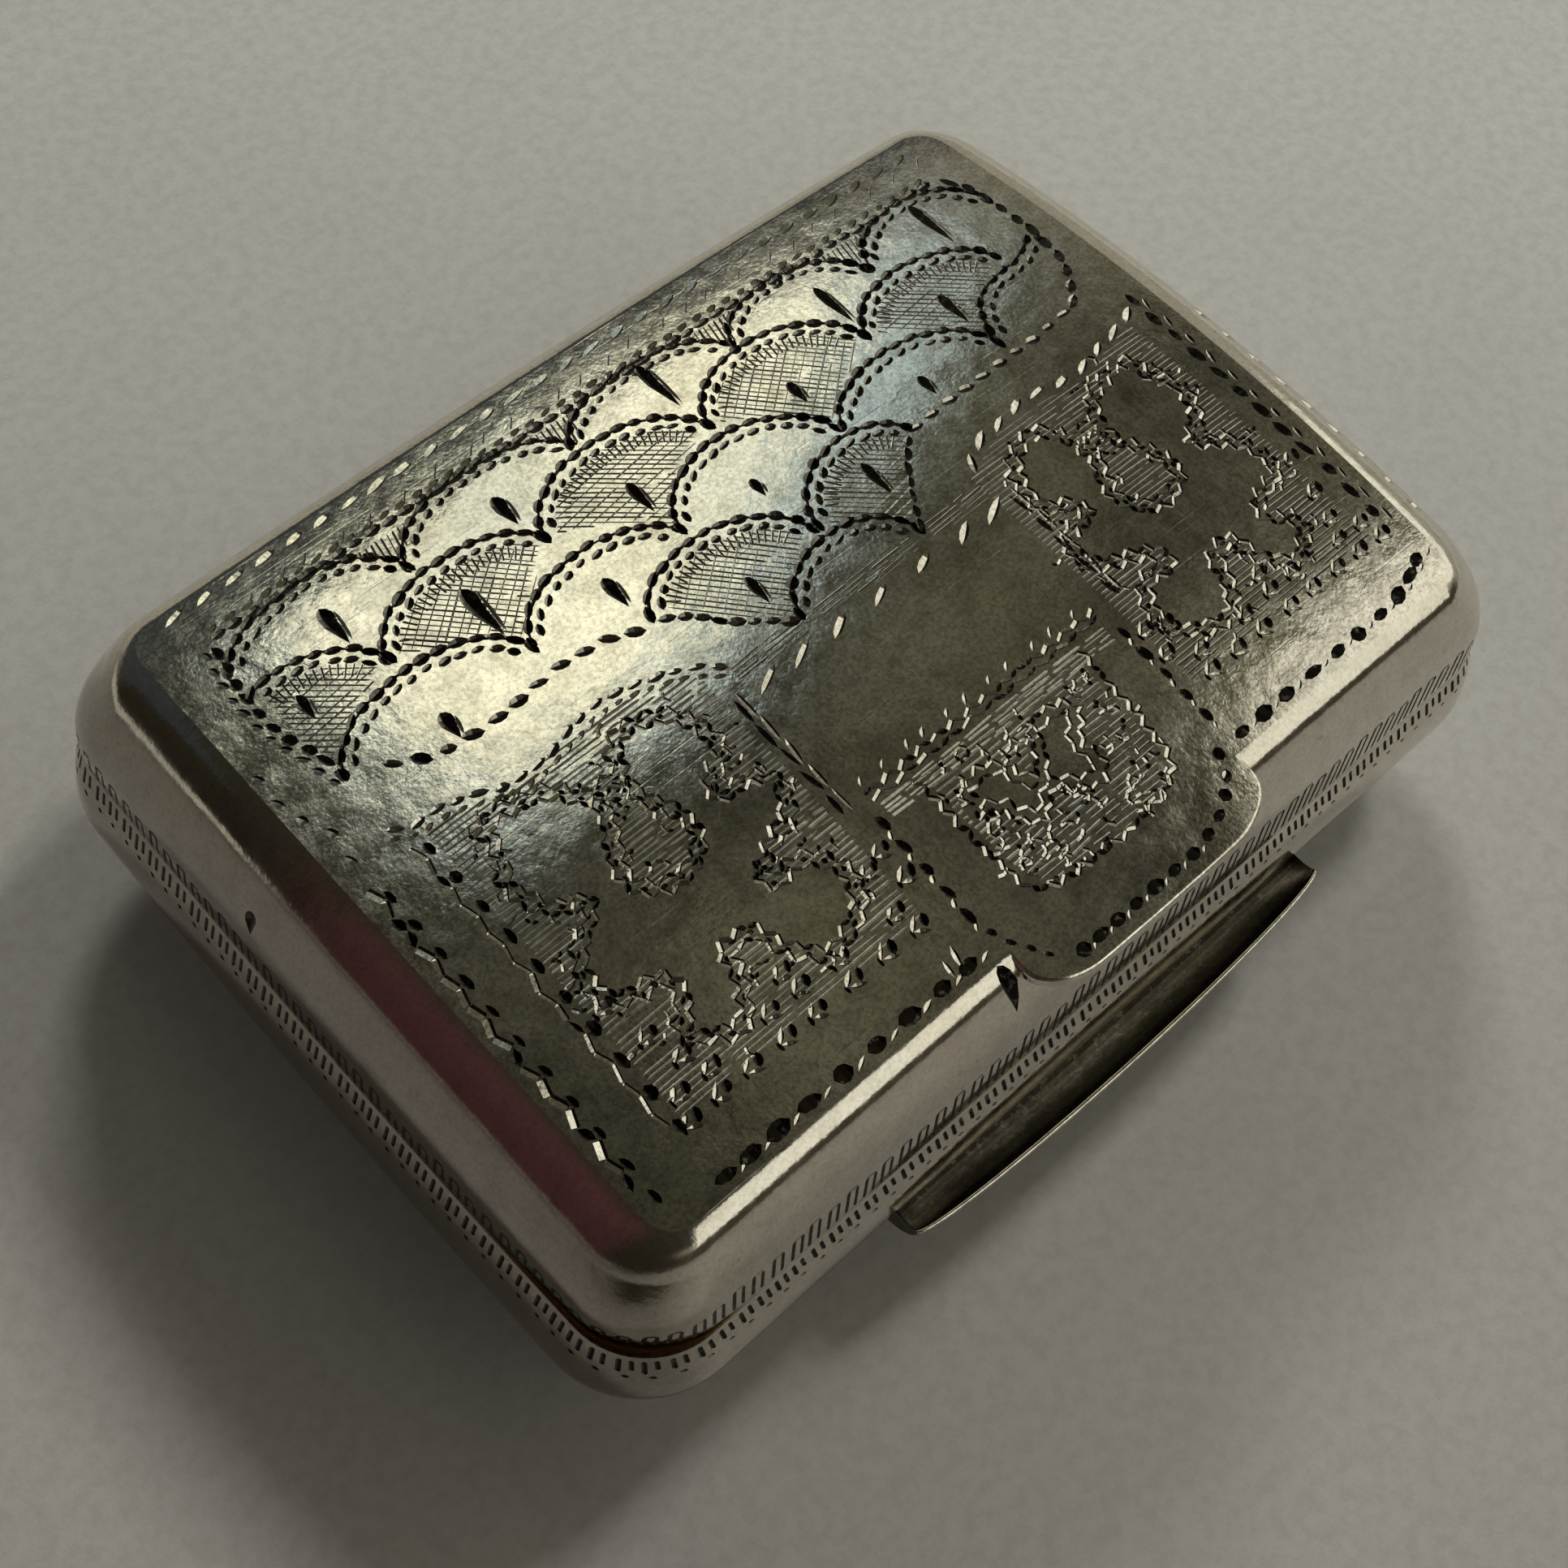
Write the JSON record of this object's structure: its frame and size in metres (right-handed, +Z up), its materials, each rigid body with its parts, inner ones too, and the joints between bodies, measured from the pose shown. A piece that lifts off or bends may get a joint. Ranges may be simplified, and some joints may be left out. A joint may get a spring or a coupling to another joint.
{
  "type": "vinaigrette box",
  "caption": "Small silver vinaigrette shaped like a shut purse: bright-cut lid with a strap tongue, crescent lip, gilt bezel, hinged pierced grille and sponge.",
  "frame": {"origin": "centre of the flat face under the base, on which the box rests", "axes": "+X to the right along the long side, +Y to the back, where the hinge is, +Z up through the lid; the strap tongue and the lip are at the front, at -Y"},
  "size_m": [0.0316, 0.0246, 0.0096],
  "materials": {
    "silver": "worn, polished silver with bright-cut engraving and tarnish in the cuts",
    "gilt": "silver with fire gilding, darkened in the corners",
    "wire": "drawn silver wire",
    "sponge": "dry natural sponge"
  },
  "bodies": {
    "base": {"base_shell": "silver", "base_lip": "silver", "base_bezel": "gilt", "base_hinge_bearer": "silver", "base_knuckle_1": "silver", "base_knuckle_2": "silver", "base_knuckle_3": "silver", "lid_hinge_pin": "wire", "pin_plug_left": "silver", "pin_plug_right": "silver", "grille_seat": "gilt", "grille_base_knuckle_1": "gilt", "grille_base_knuckle_2": "gilt", "grille_pin": "wire", "sponge": "sponge"},
    "lid": {"lid_shell": "silver", "strap_tongue": "silver", "lid_hinge_bearer": "silver", "lid_knuckle_1": "silver", "lid_knuckle_2": "silver"},
    "grille": {"grille_plate": "gilt", "grille_tab": "gilt", "grille_knuckle": "gilt"}
  },
  "joints": [
    {"name": "lid_hinge", "type": "hinge", "parent": "base", "child": "lid", "pos_m": [0, 0.01145, 0.0054], "axis": [-1, 0, 0], "range_deg": [0, 105]},
    {"name": "grille_hinge", "type": "hinge", "parent": "base", "child": "grille", "pos_m": [0, 0.01015, 0.0053], "axis": [-1, 0, 0], "range_deg": [0, 80]}
  ],
  "couplings": [
    {"joint": "grille_hinge", "follows": "lid_hinge", "ratio": 0.75}
  ]
}
